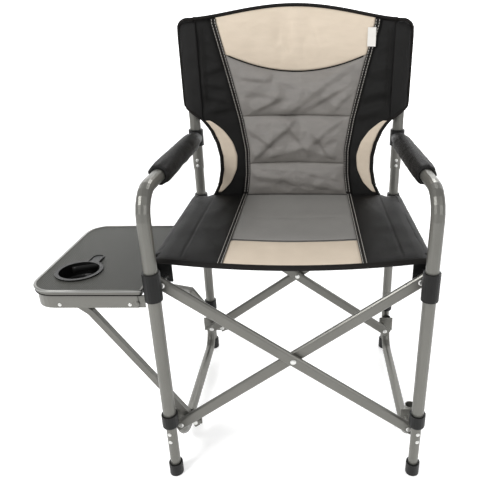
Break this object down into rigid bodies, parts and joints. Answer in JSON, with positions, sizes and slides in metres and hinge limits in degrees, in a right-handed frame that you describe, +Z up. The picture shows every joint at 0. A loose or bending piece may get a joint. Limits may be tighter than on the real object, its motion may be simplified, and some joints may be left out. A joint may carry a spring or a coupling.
{
  "type": "folding camp chair",
  "caption": "Folding camp chair with a steel tube frame, padded seat and back, padded arms and a fold-down side table with a cup holder.",
  "frame": {"origin": "on the ground under the middle of the chair's bounding box, side table included", "axes": "+Z up, the sitter faces -Y, the side table is on the -X side"},
  "size_m": [0.763, 0.5204, 0.934],
  "materials": {
    "back_fabric": "padded woven polyester",
    "cup_holder": "matt black",
    "front_centre_rivet": "bright",
    "front_falling_brace": "satin grey powder coat",
    "front_rising_brace": "satin grey powder coat",
    "front_strut_bolt": "bright",
    "front_table_bracket": "satin grey powder coat",
    "front_table_strut": "satin grey powder coat",
    "left_arm_collar": "matt black",
    "left_arm_pad": "black padded sleeve",
    "left_back_upright": "satin grey powder coat",
    "left_front_bushing": "matt black",
    "left_front_foot_cap": "matt black",
    "left_front_inner_leg": "satin grey powder coat",
    "left_front_leg_arm_tube": "satin grey powder coat",
    "left_front_lower_pin": "bright",
    "left_front_pivot_plate": "satin grey powder coat",
    "left_front_seat_collar": "matt black",
    "left_front_upper_pin": "bright",
    "left_ground_rail": "satin grey powder coat",
    "left_rear_bushing": "matt black",
    "left_rear_foot_cap": "matt black",
    "left_rear_inner_leg": "satin grey powder coat",
    "left_rear_leg": "satin grey powder coat",
    "left_rear_lower_pin": "bright",
    "left_rear_pivot_plate": "satin grey powder coat",
    "left_rear_seat_collar": "matt black",
    "left_rear_upper_pin": "bright",
    "left_seat_rail": "satin grey powder coat",
    "rear_centre_rivet": "bright",
    "rear_falling_brace": "satin grey powder coat",
    "rear_rising_brace": "satin grey powder coat",
    "rear_strut_bolt": "bright",
    "rear_table_bracket": "satin grey powder coat",
    "rear_table_strut": "satin grey powder coat",
    "right_arm_collar": "matt black",
    "right_arm_pad": "black padded sleeve",
    "right_back_upright": "satin grey powder coat",
    "right_front_bushing": "matt black",
    "right_front_foot_cap": "matt black",
    "right_front_inner_leg": "satin grey powder coat",
    "right_front_leg_arm_tube": "satin grey powder coat",
    "right_front_lower_pin": "bright",
    "right_front_pivot_plate": "satin grey powder coat",
    "right_front_seat_collar": "matt black",
    "right_front_upper_pin": "bright",
    "right_ground_rail": "satin grey powder coat",
    "right_rear_bushing": "matt black",
    "right_rear_foot_cap": "matt black",
    "right_rear_inner_leg": "satin grey powder coat",
    "right_rear_leg": "satin grey powder coat",
    "right_rear_lower_pin": "bright",
    "right_rear_pivot_plate": "satin grey powder coat",
    "right_rear_seat_collar": "matt black",
    "right_rear_upper_pin": "bright",
    "right_seat_rail": "satin grey powder coat",
    "seat_fabric": "padded woven polyester",
    "table_edge_trim": "satin",
    "table_frame": "satin grey powder coat",
    "table_top": "dark grey woven-look board"
  },
  "bodies": {
    "left_lower_frame": {"left_front_inner_leg": "left_front_inner_leg", "left_rear_inner_leg": "left_rear_inner_leg", "left_ground_rail": "left_ground_rail", "left_front_foot_cap": "left_front_foot_cap", "left_rear_foot_cap": "left_rear_foot_cap", "left_front_pivot_plate": "left_front_pivot_plate", "left_rear_pivot_plate": "left_rear_pivot_plate", "left_front_lower_pin": "left_front_lower_pin", "left_rear_lower_pin": "left_rear_lower_pin", "front_strut_bolt": "front_strut_bolt", "rear_strut_bolt": "rear_strut_bolt"},
    "left_upper_frame": {"left_front_leg_arm_tube": "left_front_leg_arm_tube", "left_rear_leg": "left_rear_leg", "left_back_upright": "left_back_upright", "left_front_bushing": "left_front_bushing", "left_rear_bushing": "left_rear_bushing", "left_front_seat_collar": "left_front_seat_collar", "left_rear_seat_collar": "left_rear_seat_collar", "left_seat_rail": "left_seat_rail", "left_arm_collar": "left_arm_collar", "left_arm_pad": "left_arm_pad", "left_front_upper_pin": "left_front_upper_pin", "left_rear_upper_pin": "left_rear_upper_pin", "front_table_bracket": "front_table_bracket", "rear_table_bracket": "rear_table_bracket", "seat_fabric": "seat_fabric", "back_fabric": "back_fabric"},
    "right_lower_frame": {"right_front_inner_leg": "right_front_inner_leg", "right_rear_inner_leg": "right_rear_inner_leg", "right_ground_rail": "right_ground_rail", "right_front_foot_cap": "right_front_foot_cap", "right_rear_foot_cap": "right_rear_foot_cap", "right_front_pivot_plate": "right_front_pivot_plate", "right_rear_pivot_plate": "right_rear_pivot_plate", "right_front_lower_pin": "right_front_lower_pin", "right_rear_lower_pin": "right_rear_lower_pin"},
    "right_upper_frame": {"right_front_leg_arm_tube": "right_front_leg_arm_tube", "right_rear_leg": "right_rear_leg", "right_back_upright": "right_back_upright", "right_front_bushing": "right_front_bushing", "right_rear_bushing": "right_rear_bushing", "right_front_seat_collar": "right_front_seat_collar", "right_rear_seat_collar": "right_rear_seat_collar", "right_seat_rail": "right_seat_rail", "right_arm_collar": "right_arm_collar", "right_arm_pad": "right_arm_pad", "right_front_upper_pin": "right_front_upper_pin", "right_rear_upper_pin": "right_rear_upper_pin"},
    "front_rising_brace": {"front_rising_brace": "front_rising_brace", "front_centre_rivet": "front_centre_rivet"},
    "front_falling_brace": {"front_falling_brace": "front_falling_brace"},
    "rear_rising_brace": {"rear_rising_brace": "rear_rising_brace", "rear_centre_rivet": "rear_centre_rivet"},
    "rear_falling_brace": {"rear_falling_brace": "rear_falling_brace"},
    "side_table": {"table_top": "table_top", "table_edge_trim": "table_edge_trim", "table_frame": "table_frame", "cup_holder": "cup_holder"},
    "front_table_strut": {"front_table_strut": "front_table_strut"},
    "rear_table_strut": {"rear_table_strut": "rear_table_strut"}
  },
  "joints": [
    {"name": "fold", "type": "hinge", "parent": "left_lower_frame", "child": "front_rising_brace", "pos_m": [-0.14, -0.2087, 0.1], "axis": [0, -1, 0], "range_deg": [0, 32], "deforming": ["seat_fabric", "back_fabric"]},
    {"name": "front_cross", "type": "hinge", "parent": "front_rising_brace", "child": "front_falling_brace", "pos_m": [0.1045, -0.2087, 0.273], "axis": [0, -1, 0], "range_deg": [-64, 0]},
    {"name": "left_upper_lift", "type": "hinge", "parent": "front_falling_brace", "child": "left_upper_frame", "pos_m": [-0.14, -0.2087, 0.446], "axis": [0, -1, 0], "range_deg": [0, 32]},
    {"name": "right_lower_swing", "type": "hinge", "parent": "front_falling_brace", "child": "right_lower_frame", "pos_m": [0.349, -0.2087, 0.1], "axis": [0, -1, 0], "range_deg": [0, 32]},
    {"name": "right_upper_lift", "type": "hinge", "parent": "front_rising_brace", "child": "right_upper_frame", "pos_m": [0.349, -0.2087, 0.446], "axis": [0, -1, 0], "range_deg": [-32, 0]},
    {"name": "rear_brace_swing", "type": "hinge", "parent": "left_lower_frame", "child": "rear_rising_brace", "pos_m": [-0.14, 0.1683, 0.1], "axis": [0, -1, 0], "range_deg": [0, 32]},
    {"name": "rear_cross", "type": "hinge", "parent": "rear_rising_brace", "child": "rear_falling_brace", "pos_m": [0.1045, 0.1683, 0.273], "axis": [0, -1, 0], "range_deg": [-64, 0]},
    {"name": "table_fold", "type": "hinge", "parent": "left_upper_frame", "child": "side_table", "pos_m": [-0.1835, -0.0877, 0.42], "axis": [0, -1, 0], "range_deg": [0, 71.68]},
    {"name": "front_strut_swing", "type": "hinge", "parent": "left_lower_frame", "child": "front_table_strut", "pos_m": [-0.1129, -0.1927, 0.095], "axis": [0, -1, 0], "range_deg": [-17.28, 0]},
    {"name": "rear_strut_swing", "type": "hinge", "parent": "left_lower_frame", "child": "rear_table_strut", "pos_m": [-0.1129, 0.1843, 0.095], "axis": [0, -1, 0], "range_deg": [-17.28, 0]}
  ],
  "couplings": [
    {"joint": "front_cross", "follows": "fold", "ratio": -2},
    {"joint": "left_upper_lift", "follows": "fold", "ratio": 1},
    {"joint": "right_lower_swing", "follows": "fold", "ratio": 1},
    {"joint": "right_upper_lift", "follows": "fold", "ratio": -1},
    {"joint": "rear_brace_swing", "follows": "fold", "ratio": 1},
    {"joint": "rear_cross", "follows": "fold", "ratio": -2},
    {"joint": "table_fold", "follows": "fold", "ratio": 2.24},
    {"joint": "front_strut_swing", "follows": "fold", "ratio": -0.54},
    {"joint": "rear_strut_swing", "follows": "fold", "ratio": -0.54}
  ]
}
